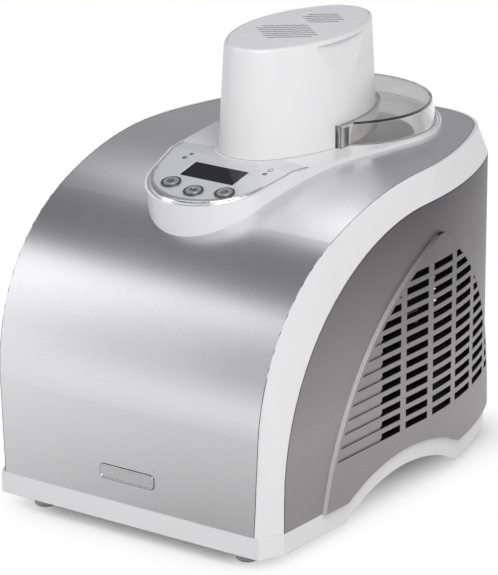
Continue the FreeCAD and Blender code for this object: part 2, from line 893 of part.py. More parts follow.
# Boards behind the fascia
module_low = -size("module_depth")
ledge_low = -2 * thick
module = window_box(size("module_edge"), module_low, ledge_low).cut(flange_rooms)
glass_top = -size("window_thickness") - gap / 2
glass = window_box(-size("window_ledge") - size("button_gap"), module_low, glass_top)
shaped("display_module", module.fuse(glass))
board_run = -size("button_back") - size("board_length") / 5
board_half = size("board_width") / 2
board_low = -size("board_depth")
board_high = board_low + size("board_thickness")
board = box(-board_half, board_half, 0, size("board_length"), board_low, board_high)
board = slanted(board, board_run)
pillars = []
for way in (-1, 1):
    pillar_x = way * (board_half - 2 * size("pillar_radius"))
    pillar_y = size("board_length") - 2 * size("pillar_radius")
    pillar = column(size("pillar_radius"), pillar_x, pillar_y, board_high, -size("island_wall"))
    pillars.append(slanted(pillar, board_run))
for label, (x_text, back_text) in buttons.items():
    plunger_top = -size("button_depth") - size("plunger_radius") / 2
    plunger = column(size("plunger_radius"), 0, 0, board_high, plunger_top)
    pillars.append(slanted(plunger, -size(back_text), button_spots[label]))
shaped("control_board", board.fuse(pillars))

# Motor tower with a bevelled top edge and a finger scoop on each side
edge_width = size("tower_edge")
plate_low = tower_top - size("plate_drop") - size("plate_thickness")
tower_wires = [
    tower_oval(0, tower_low),
    tower_oval(0, tower_top - edge_width),
    tower_oval(edge_width / 3, tower_top - edge_width / 3),
    tower_oval(edge_width, tower_top),
]
tower = Part.makeLoft(tower_wires, True, True)


# Pair of wedges for the scoops, deepest under the rim and running out down the wall
def scoop_pair(grow):
    ledge = tower_top - edge_width - size("scoop_ledge")
    toe = tower_top - size("scoop_height")
    lean = size("tower_draft") / size("tower_height")
    wall_x = size("tower_half_width") - (ledge - tower_low) * lean
    deep_x = wall_x - size("scoop_depth") - grow
    run = size("scoop_depth") + (ledge - toe) * lean
    out_x = deep_x + 3 * run
    out_z = ledge - 3 * (ledge - toe)
    points = [(deep_x, ledge + grow), (out_x, ledge + grow), (out_x, out_z), (deep_x, ledge)]
    corners = [V(x, tower_y - wide, z) for x, z in points]
    wedge = extruded(Part.makePolygon(corners + corners[:1]), V(0, 2 * wide, 0))
    return [wedge, mirrored(wedge)]


tower_wall = size("tower_wall")
plate_inset = edge_width + size("plate_gap")
cavity = tower_block(tower_wall, tower_low - gap, plate_low - size("plate_ledge"))
neck = tower_block(plate_inset + size("plate_ledge"), plate_low - wide / 10, tower_top)
tower = tower.cut(cavity.fuse(neck).cut(scoop_pair(tower_wall)))
tower = tower.cut(tower_block(plate_inset, plate_low, tower_top + edge_width))
shaped("tower_shell", tower.cut(scoop_pair(0)))
plug_spots = []
for x in (-size("plug_x"), size("plug_x")):
    for y in (-size("plug_reach"), size("plug_reach")):
        plug_spots.append((x, tower_y + y))
plate_top = plate_low + size("plate_thickness")
top_plate = tower_block(plate_inset + size("plate_gap"), plate_low, plate_top)
vents = []
fields = [
    (tower_y - size("vent_reach"), size("vent_radius")),
    (tower_y + size("vent_rear_reach"), size("vent_rear_radius")),
]
half_slot = size("vent_slot") / 2
half_vent = size("vent_length") / 2
for middle, radius in fields:
    rows = int(radius / size("vent_pitch"))
    steps = int(radius / size("vent_step")) + 1
    for row in range(-rows, rows + 1):
        for step in range(-steps, steps + 1):
            x = (step + row % 2 / 2) * size("vent_step")
            y = row * size("vent_pitch")
            if math.hypot(x, y) < radius - half_vent / 2:
                vent = box(-half_vent, half_vent, -half_slot, half_slot, plate_low - gap, tower_top)
                vent.rotate(V(0, 0, 0), V(0, 0, 1), size("vent_turn"))
                vent.translate(V(x, middle + y, 0))
                vents.append(vent)
plug_holes = [column(size("plug_radius"), x, y, plate_low - gap, tower_top) for x, y in plug_spots]
shaped("tower_top_plate", top_plate.cut(Part.makeCompound(vents + plug_holes)))
plugs = [column(size("plug_radius"), x, y, plate_low, plate_top + gap) for x, y in plug_spots]
shaped("tower_plugs", Part.makeCompound(plugs))

# Gear train in the foot of the tower
module_size = size("tooth_module")
gear_low = size("gear_low")
width = size("gear_width")
idler_low = size("idler_low")
plate_z = size("plate_z")
idler_y = size("idler_y")
motor_y = size("motor_y")


# Straight-sided teeth on a root polygon
def gear(teeth, low, tall, phase):
    pitch = module_size * teeth / 2
    root = pitch - 1.15 * module_size
    tip = pitch + 0.75 * module_size
    lean = math.tan(math.radians(20))
    outline = []
    for index in range(int(teeth)):
        for radius, way in ((root, -1), (tip, -1), (tip, 1), (root, 1)):
            half = 0.19 * math.pi * module_size + (pitch - radius) * lean
            at = math.radians(phase + index * 360 / teeth) + way * half / radius
            outline.append(V(radius * math.cos(at), radius * math.sin(at), low))
    return extruded(Part.makePolygon(outline + outline[:1]), V(0, 0, tall))


fit = size("shaft_fit")
half_tooth = 180 / size("pinion_teeth")
shaft = size("shaft_radius")
shaft_low = size("bowl_high_z") - size("shaft_reach")
output = gear(size("output_teeth"), gear_low, width, 90)
hub_low = tower_low + size("plate_web") + size("gear_gap")
output = output.fuse([column(shaft, 0, 0, shaft_low, plate_z - size("gear_gap")),
                      column(size("hub_radius"), 0, 0, hub_low, gear_low)])
flat_x = shaft - size("shaft_flat")
flats = box(flat_x, 2 * shaft, -2 * shaft, 2 * shaft, shaft_low, shaft_low + size("shaft_grip"))
output = output.cut([flats, mirrored(flats)])
output.translate(V(0, bowl_y, 0))
shaped("output_gear", output)
idler = gear(size("pinion_teeth"), gear_low, idler_low - gear_low, 90 + half_tooth)
idler = idler.fuse(gear(size("idler_teeth"), idler_low, width, 90))
idler = idler.cut(column(size("pin_radius") + fit, 0, 0, tower_low, plate_z))
idler.translate(V(0, idler_y, 0))
shaped("idler_gear", idler)
pinion = gear(size("pinion_teeth"), idler_low, width, 90 + half_tooth)
pinion_top = idler_low + width + size("pinion_shaft_reach")
pinion = pinion.fuse(column(size("pinion_shaft"), 0, 0, idler_low, pinion_top))
pinion.translate(V(0, motor_y, 0))
shaped("motor_pinion", pinion)
web = size("plate_web")
foot_low = tower_low + size("button_gap")
foot_high = foot_low + web
foot_plate = tower_block(size("tower_wall"), foot_low, foot_high)
foot_plate = foot_plate.cut(column(shaft + fit, 0, bowl_y, base_top, high))
pin_top = plate_z - size("gear_gap") / 2
foot_plate = foot_plate.fuse([column(size("pin_radius"), 0, idler_y, foot_high, pin_top),
                              column(2 * size("pin_radius"), 0, idler_y, foot_high, gear_low - gap)])
shaped("tower_base_plate", foot_plate)
bracket = tower_block(size("tower_wall") + size("plate_gap"), plate_z, plate_z + web)
bracket = bracket.cut(column(size("pinion_shaft") + 3 * gap, 0, motor_y, base_top, high))
bracket_end = bowl_y + size("motor_radius")
shaped("gear_plate", bracket.cut(box(-wide, wide, bracket_end, beyond, 0, high)))
motor_profile = [
    ("pinion_shaft + button_gap", "0"),
    ("motor_radius - motor_chamfer", "0"),
    ("motor_radius", "motor_chamfer"),
    ("motor_radius", "motor_height - motor_chamfer"),
    ("motor_radius - motor_chamfer", "motor_height"),
    ("motor_boss", "motor_height"),
    ("motor_boss", "motor_height + motor_boss_height"),
    ("0", "motor_height + motor_boss_height"),
    ("0", "motor_bore"),
    ("pinion_shaft + button_gap", "motor_bore"),
]
turned("drive_motor", motor_profile, "0", "motor_y", "plate_z + plate_web")

# Clear lid round the back of the tower
lid_low = top_z + size("tower_gap") / 2
lid_top = lid_low + size("lid_height")
lid_front = bowl_y - size("lid_reach")


def lid_block(inset, low, top):
    share = (top - low) / size("lid_height")
    foot = size("lid_foot_radius") - inset
    head = foot - share * (size("lid_foot_radius") - size("lid_top_radius"))
    side = size("lid_half_width") - inset
    cone = Part.makeCone(foot, head, top - low, V(0, bowl_y, low))
    return cone.fuse(box(-side, side, lid_front + inset, bowl_y, low, top))


def lid_oval(grow):
    return extruded(oval(-grow - size("lid_gap"), base_top), V(0, 0, high))


lid_room = lid_block(size("lid_wall"), lid_low - gap, lid_top - size("lid_wall"))
lid = lid_block(0, lid_low, lid_top).cut(lid_room)
lid_rib = lid_oval(size("lid_collar")).common(lid_block(gap, lid_low, lid_top))
shaped("clear_lid", lid.fuse(lid_rib).cut(lid_oval(0)))

# Removable bowl, its freezing well and the jackets round it
bowl_profile = [
    ("0", "0"),
    ("bowl_radius - bowl_chamfer", "0"),
    ("bowl_radius", "bowl_chamfer"),
    ("bowl_radius", "bowl_depth - bowl_wall"),
    ("bowl_radius + bowl_rim", "bowl_depth - bowl_wall"),
    ("bowl_radius + bowl_rim", "bowl_depth"),
    ("bowl_radius - bowl_wall", "bowl_depth"),
    ("bowl_radius - bowl_wall", "bowl_chamfer + bowl_wall"),
    ("bowl_radius - bowl_chamfer - bowl_wall", "bowl_wall"),
    ("bowl_pin", "bowl_wall"),
    ("bowl_pin - bowl_wall", "bowl_pin_height"),
    ("0", "bowl_pin_height"),
]
turned("mixing_bowl", bowl_profile, "0", "bowl_y", "bowl_low_z")
well_profile = [
    ("0", "well_foot"),
    ("well_out", "well_foot"),
    ("well_out", "seat_z - well_wall"),
    ("opening_radius + collar_wall", "seat_z - well_wall"),
    ("opening_radius + collar_wall", "seat_z"),
    ("well_in", "seat_z"),
    ("well_in", "-1 * well_gap"),
    ("0", "-1 * well_gap"),
]
turned("freezing_well", well_profile, "0", "bowl_y", "bowl_low_z")
evaporator_profile = [
    ("well_out", "0"),
    ("evaporator_out", "0"),
    ("evaporator_out", "evaporator_height"),
    ("well_out", "evaporator_height"),
]
turned("evaporator_jacket", evaporator_profile, "0", "bowl_y", "bowl_low_z")
jacket_profile = [
    ("0", "jacket_foot"),
    ("jacket_out", "jacket_foot"),
    ("jacket_out", "evaporator_height + jacket_lip"),
    ("well_out", "evaporator_height + jacket_lip"),
    ("well_out", "evaporator_height"),
    ("evaporator_out", "evaporator_height"),
    ("evaporator_out", "0"),
    ("well_out", "0"),
    ("well_out", "well_foot"),
    ("0", "well_foot"),
]
turned("insulation_jacket", jacket_profile, "0", "bowl_y", "bowl_low_z")
stand_top = size("bowl_low_z") + size("jacket_foot")
stand_out = size("stand_radius")
stand_width = size("stand_ring")
stand = column(stand_out, 0, bowl_y, stand_top - size("stand_height"), stand_top)
stand = stand.cut(column(stand_out - stand_width, 0, bowl_y, base_top, high))
for turn in (45, 135, 225, 315):
    leg = box(stand_out - stand_width, stand_out, -stand_width / 2, stand_width / 2, liner_top, stand_top)
    leg = leg.common(column(stand_out, 0, 0, liner_top, stand_top))
    leg.rotate(V(0, 0, 0), V(0, 0, 1), turn)
    leg.translate(V(0, bowl_y, 0))
    stand = stand.fuse(leg)
shaped("well_stand", stand)

# Paddle with two windowed blades, keyed on the output shaft
paddle_low = size("bowl_low_z") + size("paddle_lift")
paddle_top = size("bowl_high_z") - size("paddle_drop")
hub = column(size("paddle_hub_radius"), 0, 0, paddle_low, paddle_top)
reach = size("paddle_reach")
half_blade = size("paddle_blade") / 2
blade_low = paddle_low + size("blade_toe")
blade_top = paddle_top - size("blade_head")
blade = box(-reach, reach, -half_blade, half_blade, blade_low, blade_top)
hollow = box(size("hollow_in"), reach - size("hollow_out"), -reach, reach,
             blade_low + size("hollow_toe"), blade_top - size("hollow_head"))
key_gap = size("key_gap")
socket_low = shaft_low - 6 * key_gap
socket = column(shaft + key_gap, 0, 0, socket_low, high)
pivot = column(size("bowl_pin") + gap, 0, 0, base_top, size("bowl_low_z") + size("bowl_pin_height") + gap)
paddle = hub.fuse(blade).cut([hollow, mirrored(hollow), socket, pivot])
keys = box(flat_x + key_gap, 2 * shaft, -shaft, shaft, socket_low, paddle_top)
keys = keys.common(column(shaft + 4 * key_gap, 0, 0, base_top, high))
paddle = paddle.fuse([keys, mirrored(keys)])
paddle.translate(V(0, bowl_y, 0))
shaped("mixing_paddle", paddle)

# Cooling unit on the floor
compressor_profile = [
    ("0", "0"),
    ("compressor_radius - compressor_foot", "0"),
    ("compressor_radius", "compressor_foot"),
    ("compressor_radius", "compressor_height - compressor_dome"),
    ("compressor_radius - compressor_dome", "compressor_height"),
    ("0", "compressor_height"),
]
compressor = turned("compressor", compressor_profile, "0", "compressor_y", "liner_top + mount_height")
compressor_y = size("compressor_y")
mount_reach = size("compressor_radius") - size("mount_inset")
mount_top = liner_top + size("mount_height")
mounts = []
for turn in (45, 135, 225, 315):
    x = mount_reach * math.cos(math.radians(turn))
    y = compressor_y + mount_reach * math.sin(math.radians(turn))
    mounts.append(column(size("mount_radius"), x, y, liner_top, mount_top))
shaped("compressor_mounts", Part.makeCompound(mounts))

condenser_out = half_width - panel_wall - size("condenser_gap")
condenser_in = condenser_out - size("condenser_width")
fan_y = size("fan_offset")
frame_top = stand_top - size("fan_head_gap")
frame_half = (frame_top - liner_top) / 2
fan_z = liner_top + frame_half
fan_radius = frame_half - size("fan_rim")
fan_in = condenser_in - 4 * gap - size("fan_depth")
across_x = V(1, 0, 0)


def rod(radius, start, length):
    return Part.makeCylinder(radius, length, V(start, fan_y, fan_z), across_x)


fan_out = fan_in + size("fan_depth")
frame = box(fan_in, fan_out, fan_y - frame_half, fan_y + frame_half, liner_top, frame_top)
frame = frame.cut(rod(fan_radius + size("fan_tip_gap"), 0, wide))
strut = size("strut_thickness")
half_strut = size("strut_width") / 2
strut_reach = frame_half - gap
struts = []
for across_y, across_z in ((half_strut, strut_reach), (strut_reach, half_strut)):
    struts.append(box(fan_in, fan_in + strut, fan_y - across_y, fan_y + across_y,
                      fan_z - across_z, fan_z + across_z))
hub_in = fan_in + size("fan_depth") / 2 - strut
carrier = [
    rod(size("fan_hub"), fan_in, hub_in - fan_in - 2 * gap),
    rod(size("axle_radius"), fan_in, size("fan_depth") - gap),
]
shaped("fan_frame", frame.fuse(struts + carrier))
vane_middle = hub_in + size("fan_hub_height") / 2
half_vane = size("vane_width") / 2
half_thick = size("vane_thickness") / 2
vanes = []
for index in range(int(size("fan_vanes"))):
    vane = box(-half_vane, half_vane, -half_thick, half_thick, size("fan_hub") - strut, fan_radius)
    vane.rotate(V(0, 0, 0), V(0, 0, 1), size("vane_turn"))
    vane.rotate(V(0, 0, 0), across_x, index * 360 / size("fan_vanes"))
    vane.translate(V(vane_middle, fan_y, fan_z))
    vanes.append(vane)
rotor = rod(size("fan_hub"), hub_in, size("fan_hub_height")).fuse(vanes)
shaped("fan_rotor", rotor.cut(rod(size("axle_radius") + fit, 0, wide)))

# Condenser: a comb of fins on a flat tube, between two end plates
condenser_top = liner_top + size("condenser_height")
condenser_half = size("condenser_half")
middle_x = (condenser_in + condenser_out) / 2
half_spine = size("fin_spine") / 2
half_end = size("end_plate") / 2
comb = [box(middle_x - half_spine, middle_x + half_spine, fan_y - condenser_half, fan_y + condenser_half,
            liner_top, condenser_top)]
for way in (-1, 1):
    y = fan_y + way * (condenser_half - half_end)
    comb.append(box(condenser_in, condenser_out, y - half_end, y + half_end, liner_top, condenser_top))
fin_count = int(size("fin_count"))
fin_pitch = 2 * condenser_half / (fin_count + 1)
half_fin = size("fin_thickness") / 2
for index in range(fin_count):
    y = fan_y - condenser_half + (index + 1) * fin_pitch
    comb.append(box(condenser_in, condenser_out, y - half_fin, y + half_fin, liner_top, condenser_top))
shaped("condenser", comb[0].fuse(comb[1:]).removeSplitter())


# Round pipe along a start, one corner and an end, with the corner mitred in two steps
def pipe(start, corner, end):
    bend = size("pipe_bend")
    into = (corner - start).normalize()
    out = (end - corner).normalize()
    path = Part.makePolygon([start, corner - into * bend, corner + out * bend, end])
    ring = Part.Wire([Part.Circle(start, into, size("pipe_radius")).toShape()])
    return path.makePipeShell([ring], True, False, 1)


doc.recompute()
hot_z = liner_top + size("pipe_rise")
hot_x = size("compressor_radius") - size("mount_inset")
hot = pipe(V(hot_x, compressor_y, hot_z), V(middle_x, compressor_y, hot_z),
           V(middle_x, fan_y - condenser_half, hot_z))
cold_top = mount_top + size("compressor_height")
cold_z = cold_top + size("pipe_head")
cold_end = bowl_y - size("evaporator_out") - size("jacket_wall") / 2
cold = pipe(V(0, compressor_y, cold_top), V(0, compressor_y, cold_z), V(0, cold_end, cold_z))
jacket = doc.getObject("insulation_jacket")
shaped("pipes", Part.makeCompound([hot, cold]).cut(compressor.Shape).cut(jacket.Shape))

# Power board on the left of the floor
power_left = -half_width + panel_wall + size("power_gap")
power_top = liner_top + size("power_height")
power_front = compressor_y - size("mount_height")
sheet_thick = size("power_thickness")
power_part = size("power_part")
power = box(power_left, power_left + size("power_width"), power_front, power_front + sheet_thick,
            liner_top, power_top)
blocks = []
block_left = power_left + power_part / 4
for low in (liner_top + power_part / 2, liner_top + 2 * power_part):
    blocks.append(box(block_left, block_left + power_part, power_front + sheet_thick,
                      power_front + power_part, low, low + power_part))
shaped("power_board", power.fuse(blocks))

# Housing screws and the plain plate on the lower front
head_low = size("floor_z") - size("screw_head")
head_radius = size("screw_head_radius")
screws = []
for x, y in screw_spots:
    corners = []
    for index in range(7):
        at = math.radians(index * 60)
        corners.append(V(x + math.cos(at) * head_radius, y + math.sin(at) * head_radius, head_low))
    head = extruded(Part.makePolygon(corners), V(0, 0, size("screw_head")))
    shank = column(size("screw_radius"), x, y, head_low, head_low + size("screw_length"))
    screws.append(head.fuse(shank))
shaped("housing_screws", Part.makeCompound(screws))
half_badge = size("badge_width") / 2
badge_low = base_top + size("badge_rise")
badge = box(-half_badge, half_badge, front - size("badge_thickness"), front, badge_low,
            badge_low + size("badge_height"))
corner_edges = [edge for edge in badge.Edges if edge.BoundBox.YLength > size("badge_thickness") / 2]
shaped("badge_plate", badge.makeFillet(size("badge_corner"), corner_edges))

# Every sub-part has to be sound before any file is written
doc.recompute()
for item in subparts:
    faults = [state for state in item.State if state in ("Invalid", "Error")]
    if faults or item.Shape.isNull() or not item.Shape.isValid():
        raise RuntimeError("%s is not sound: %s" % (item.Label, faults))
for item in subparts:
    print(item.Label, len(item.Shape.Solids), "solids", round(item.Shape.Volume), "mm3")
    item.Shape.exportStep("parts/%s.step" % item.Label)
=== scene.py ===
import bpy
import bmesh
import math
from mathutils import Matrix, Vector


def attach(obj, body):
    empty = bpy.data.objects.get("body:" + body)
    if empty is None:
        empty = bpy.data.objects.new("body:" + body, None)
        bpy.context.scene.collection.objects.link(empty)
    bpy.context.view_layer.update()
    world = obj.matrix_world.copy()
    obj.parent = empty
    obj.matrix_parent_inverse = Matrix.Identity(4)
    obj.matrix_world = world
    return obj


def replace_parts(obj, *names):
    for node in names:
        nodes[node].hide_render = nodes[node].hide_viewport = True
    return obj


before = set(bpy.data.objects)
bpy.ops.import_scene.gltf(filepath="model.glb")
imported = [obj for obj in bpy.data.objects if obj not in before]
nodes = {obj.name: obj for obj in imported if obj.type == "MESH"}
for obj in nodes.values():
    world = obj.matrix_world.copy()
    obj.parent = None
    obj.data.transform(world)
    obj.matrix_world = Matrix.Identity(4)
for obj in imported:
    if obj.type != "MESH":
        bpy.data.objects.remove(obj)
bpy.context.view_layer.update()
scene = bpy.context.scene
print("frame loaded:", len(nodes), "nodes")


# node helpers

def newGroup(name, inputs, outputs):
    group = bpy.data.node_groups.new(name, "ShaderNodeTree")
    for label, kind, value in inputs:
        socket = group.interface.new_socket(label, in_out="INPUT", socket_type="NodeSocket" + kind)
        socket.default_value = value
    for label, kind in outputs:
        group.interface.new_socket(label, in_out="OUTPUT", socket_type="NodeSocket" + kind)
    return group, group.nodes.new("NodeGroupInput"), group.nodes.new("NodeGroupOutput")


def addNode(tree, kind, **values):
    node = tree.nodes.new("ShaderNode" + kind)
    for key, value in values.items():
        if hasattr(node, key):
            setattr(node, key, value)
        else:
            node.inputs[key.replace("_", " ")].default_value = value
    return node


def feed(tree, source, socket):
    # a number goes on the socket, an output is linked to it
    if hasattr(source, "is_output"):
        tree.links.new(source, socket)
    else:
        socket.default_value = source


def noiseAt(tree, scale, detail=3.0, rough=0.5, stretch=(1, 1, 1)):
    coord = addNode(tree, "TexCoord")
    mapping = addNode(tree, "Mapping")
    mapping.inputs["Scale"].default_value = stretch
    noise = addNode(tree, "TexNoise", Scale=scale, Detail=detail, Roughness=rough)
    tree.links.new(coord.outputs["Object"], mapping.inputs["Vector"])
    tree.links.new(mapping.outputs["Vector"], noise.inputs["Vector"])
    return noise.outputs[0]


def spread(tree, source, low, high, start=0.3, stop=0.7):
    ramp = addNode(tree, "MapRange", clamp=True)
    ramp.inputs["From Min"].default_value = start
    ramp.inputs["From Max"].default_value = stop
    tree.links.new(source, ramp.inputs["Value"])
    feed(tree, low, ramp.inputs["To Min"])
    feed(tree, high, ramp.inputs["To Max"])
    return ramp.outputs["Result"]


def mathOf(tree, kind, first, second):
    node = addNode(tree, "Math", operation=kind)
    feed(tree, first, node.inputs[0])
    feed(tree, second, node.inputs[1])
    return node.outputs[0]


def mixColour(tree, factor, first, second):
    mix = addNode(tree, "Mix", data_type="RGBA")
    tree.links.new(factor, mix.inputs[0])
    feed(tree, first, mix.inputs[6])
    feed(tree, second, mix.inputs[7])
    return mix.outputs[2]


finishSockets = [("Light", "Color", (0.8, 0.8, 0.8, 1)), ("Dark", "Color", (0.75, 0.75, 0.75, 1)),
                 ("Smooth", "Float", 0.3), ("Rough", "Float", 0.4)]
finishOuts = [("Color", "Color"), ("Roughness", "Float"), ("Height", "Float")]

# moulded plastic: faint clouding, handled patches and a fine spark texture
moulded, gIn, gOut = newGroup("mouldedPlastic", finishSockets, finishOuts)
plasticLook = {"cloudScale": 14, "patchScale": 38, "sparkScale": 2600}
cloud = spread(moulded, noiseAt(moulded, plasticLook["cloudScale"], 4, 0.55), 0.0, 1.0)
clouded = mixColour(moulded, cloud, gIn.outputs["Light"], gIn.outputs["Dark"])
patch = noiseAt(moulded, plasticLook["patchScale"], 5, 0.6)
handled = spread(moulded, patch, gIn.outputs["Smooth"], gIn.outputs["Rough"])
moulded.links.new(clouded, gOut.inputs["Color"])
moulded.links.new(handled, gOut.inputs["Roughness"])
moulded.links.new(noiseAt(moulded, plasticLook["sparkScale"], 1, 0.5), gOut.inputs["Height"])

# satin sheet: even pearl grain, a weak draw across the width and a soft haze
satin, gIn, gOut = newGroup("satinSheet", finishSockets, finishOuts)
sheetLook = {"grainScale": 1100, "grainShare": 0.8, "drawScale": 800, "drawShare": 0.2,
             "drawStretch": (0.3, 1, 1), "hazeScale": 9}
grain = noiseAt(satin, sheetLook["grainScale"], 2, 0.6)
draw = noiseAt(satin, sheetLook["drawScale"], 2, 0.5, sheetLook["drawStretch"])
flecks = mathOf(satin, "ADD", mathOf(satin, "MULTIPLY", grain, sheetLook["grainShare"]),
                mathOf(satin, "MULTIPLY", draw, sheetLook["drawShare"]))
fleckMask = spread(satin, flecks, 0.0, 1.0, 0.38, 0.62)
flecked = mixColour(satin, fleckMask, gIn.outputs["Light"], gIn.outputs["Dark"])
haze = noiseAt(satin, sheetLook["hazeScale"], 3, 0.5)
satin.links.new(flecked, gOut.inputs["Color"])
satin.links.new(spread(satin, haze, gIn.outputs["Smooth"], gIn.outputs["Rough"]), gOut.inputs["Roughness"])
satin.links.new(flecks, gOut.inputs["Height"])

# edge group: a small rounding of the sharp corners and a mask of where it lies; the mask, broken up by noise,
# paints a highlight along the edges, and a dark edge shade on the clear lid
edgeRoundingAndLight, gIn, gOut = newGroup("edgeRoundingAndPaintedLight", [("Radius", "Float", 0.0005), ("Amount", "Float", 1.0)],
                             [("Normal", "Vector"), ("Mask", "Float")])
bevel = addNode(edgeRoundingAndLight, "Bevel", samples=4)
flat = addNode(edgeRoundingAndLight, "NewGeometry")
across = addNode(edgeRoundingAndLight, "VectorMath", operation="DOT_PRODUCT")
edgeRoundingAndLight.links.new(gIn.outputs["Radius"], bevel.inputs["Radius"])
edgeRoundingAndLight.links.new(bevel.outputs["Normal"], across.inputs[0])
edgeRoundingAndLight.links.new(flat.outputs["Normal"], across.inputs[1])
turnMask = spread(edgeRoundingAndLight, across.outputs["Value"], 1.0, 0.0, 0.75, 0.99)
edgeLightMask = mathOf(edgeRoundingAndLight, "MULTIPLY", turnMask, spread(edgeRoundingAndLight, noiseAt(edgeRoundingAndLight, 120, 3), 0.55, 1.0))
edgeRoundingAndLight.links.new(mathOf(edgeRoundingAndLight, "MULTIPLY", edgeLightMask, gIn.outputs["Amount"]), gOut.inputs["Mask"])
edgeRoundingAndLight.links.new(bevel.outputs["Normal"], gOut.inputs["Normal"])

# facing: masks of the grille's slot walls, of the leaning border before them and of the vent walls, for
# painted shade in the slots and vents and a painted highlight on the border
facing, gIn, gOut = newGroup("facingWalls", [], [("Slot", "Float"), ("Border", "Float"), ("Side", "Float")])
parts = addNode(facing, "SeparateXYZ")
facing.links.new(addNode(facing, "NewGeometry").outputs["True Normal"], parts.inputs[0])
ahead = spread(facing, parts.outputs["Y"], 1.0, 0.0, -0.9, -0.3)
leaning = spread(facing, parts.outputs["Z"], 0.0, 1.0, 0.05, 0.12)
upright = mathOf(facing, "SUBTRACT", ahead, leaning)
level = spread(facing, parts.outputs["Z"], 0.0, 1.0, 0.95, 0.99)
facing.links.new(mathOf(facing, "MULTIPLY", ahead, leaning), gOut.inputs["Border"])
facing.links.new(mathOf(facing, "MAXIMUM", upright, level), gOut.inputs["Slot"])
facing.links.new(spread(facing, parts.outputs["Z"], 1.0, 0.0, 0.2, 0.5), gOut.inputs["Side"])


def tinted(tree, colour, mask, tone):
    return mixColour(tree, mask, colour, (*tone, 1))


bumpDepth = 0.0002
# painted shade: the grey panels are painted darker towards the top
paintedShadeSpan = (0.1, 0.25)  # heights in metres between which the grey panels deepen


def surface(name, look):
    mat = bpy.data.materials.new(name)
    mat.use_nodes = True
    tree = mat.node_tree
    bsdf = tree.nodes["Principled BSDF"]
    group = tree.nodes.new("ShaderNodeGroup")
    group.node_tree = look.get("effect", moulded)
    group.inputs["Light"].default_value = (*look["light"], 1)
    group.inputs["Dark"].default_value = (*look["dark"], 1)
    group.inputs["Smooth"].default_value = look["rough"][0]
    group.inputs["Rough"].default_value = look["rough"][1]
    colour = group.outputs["Color"]
    bump = tree.nodes.new("ShaderNodeBump")
    bump.inputs["Strength"].default_value = look["bump"]
    bump.inputs["Distance"].default_value = bumpDepth
    if look.get("edge"):
        edge = tree.nodes.new("ShaderNodeGroup")
        edge.node_tree = edgeRoundingAndLight
        edge.inputs["Radius"].default_value = look["edge"]
        edge.inputs["Amount"].default_value = look["edgeLightAmount"]
        # painted light on the edges: a paler tint is a painted highlight, the lid's dark tint is painted
        # shade
        colour = tinted(tree, colour, edge.outputs["Mask"], look.get("paintedEdgeLight", look["light"]))
        tree.links.new(edge.outputs["Normal"], bump.inputs["Normal"])
    if look.get("paintedTopShade"):
        # painted shade: the colour darkens towards the top
        parts = addNode(tree, "SeparateXYZ")
        tree.links.new(addNode(tree, "TexCoord").outputs["Object"], parts.inputs[0])
        colour = tinted(tree, colour, spread(tree, parts.outputs["Z"], 0.0, 1.0, *paintedShadeSpan), look["paintedTopShade"])
    if look.get("paintedWallLight"):
        # painted shade inside the slots, painted highlight along the raised border
        paintedWallLight = tree.nodes.new("ShaderNodeGroup")
        paintedWallLight.node_tree = facing
        for mask, tone in look["paintedWallLight"].items():
            colour = tinted(tree, colour, paintedWallLight.outputs[mask], tone)
    tree.links.new(colour, bsdf.inputs["Base Color"])
    tree.links.new(group.outputs["Roughness"], bsdf.inputs["Roughness"])
    tree.links.new(group.outputs["Height"], bump.inputs["Height"])
    tree.links.new(bump.outputs["Normal"], bsdf.inputs["Normal"])
    for key, value in look.get("shader", {}).items():
        bsdf.inputs[key].default_value = value
    return mat


# finishes

# the edge tint in these finishes is painted light: a highlight on most of them, a dark shade on the clear lid
shellWhite = surface("shellWhite", {
    "light": (0.83, 0.823, 0.825), "dark": (0.815, 0.807, 0.809),
    "rough": (0.28, 0.38), "bump": 0.03,
    "edge": 0.0007, "edgeLightAmount": 0.35, "paintedEdgeLight": (0.86, 0.855, 0.855),
    "shader": {"Coat Weight": 0.2, "Coat Roughness": 0.15}})
coverSteel = surface("coverSteel", {
    "effect": satin, "light": (0.80, 0.80, 0.81), "dark": (0.735, 0.735, 0.75),
    "rough": (0.29, 0.33), "bump": 0.02,
    "shader": {"Metallic": 1.0}})
badgeSteel = surface("badgeSteel", {
    "effect": satin, "light": (0.74, 0.74, 0.75), "dark": (0.66, 0.66, 0.67),
    "rough": (0.2, 0.26), "bump": 0.02,
    "edge": 0.0003, "edgeLightAmount": 0.5, "paintedEdgeLight": (0.85, 0.85, 0.86), "shader": {"Metallic": 1.0}})
panelGrey = surface("panelGrey", {
    "effect": satin, "light": (0.36, 0.345, 0.35), "dark": (0.30, 0.286, 0.291),
    "rough": (0.38, 0.46), "bump": 0.04,
    # painted highlight on the edges and painted shade darkening the top
    "edge": 0.0009, "edgeLightAmount": 1.0, "paintedEdgeLight": (0.62, 0.605, 0.61), "paintedTopShade": (0.075, 0.069, 0.072),
    # painted highlight on the raised border, painted shade inside the slots
    "paintedWallLight": {"Border": (0.68, 0.67, 0.675), "Slot": (0.012, 0.012, 0.013)},
    "shader": {"Metallic": 0.35}})
footRubber = surface("footRubber", {
    "light": (0.56, 0.56, 0.57), "dark": (0.5, 0.5, 0.51),
    "rough": (0.6, 0.75), "bump": 0.3})
silverFilm = surface("silverFilm", {
    "effect": satin, "light": (0.74, 0.745, 0.75), "dark": (0.71, 0.715, 0.72),
    "rough": (0.16, 0.22), "bump": 0.01,
    "edge": 0.0004, "edgeLightAmount": 0.4, "paintedEdgeLight": (0.74, 0.745, 0.75),
    "shader": {"Metallic": 0.2, "Coat Weight": 0.5, "Coat Roughness": 0.06}})
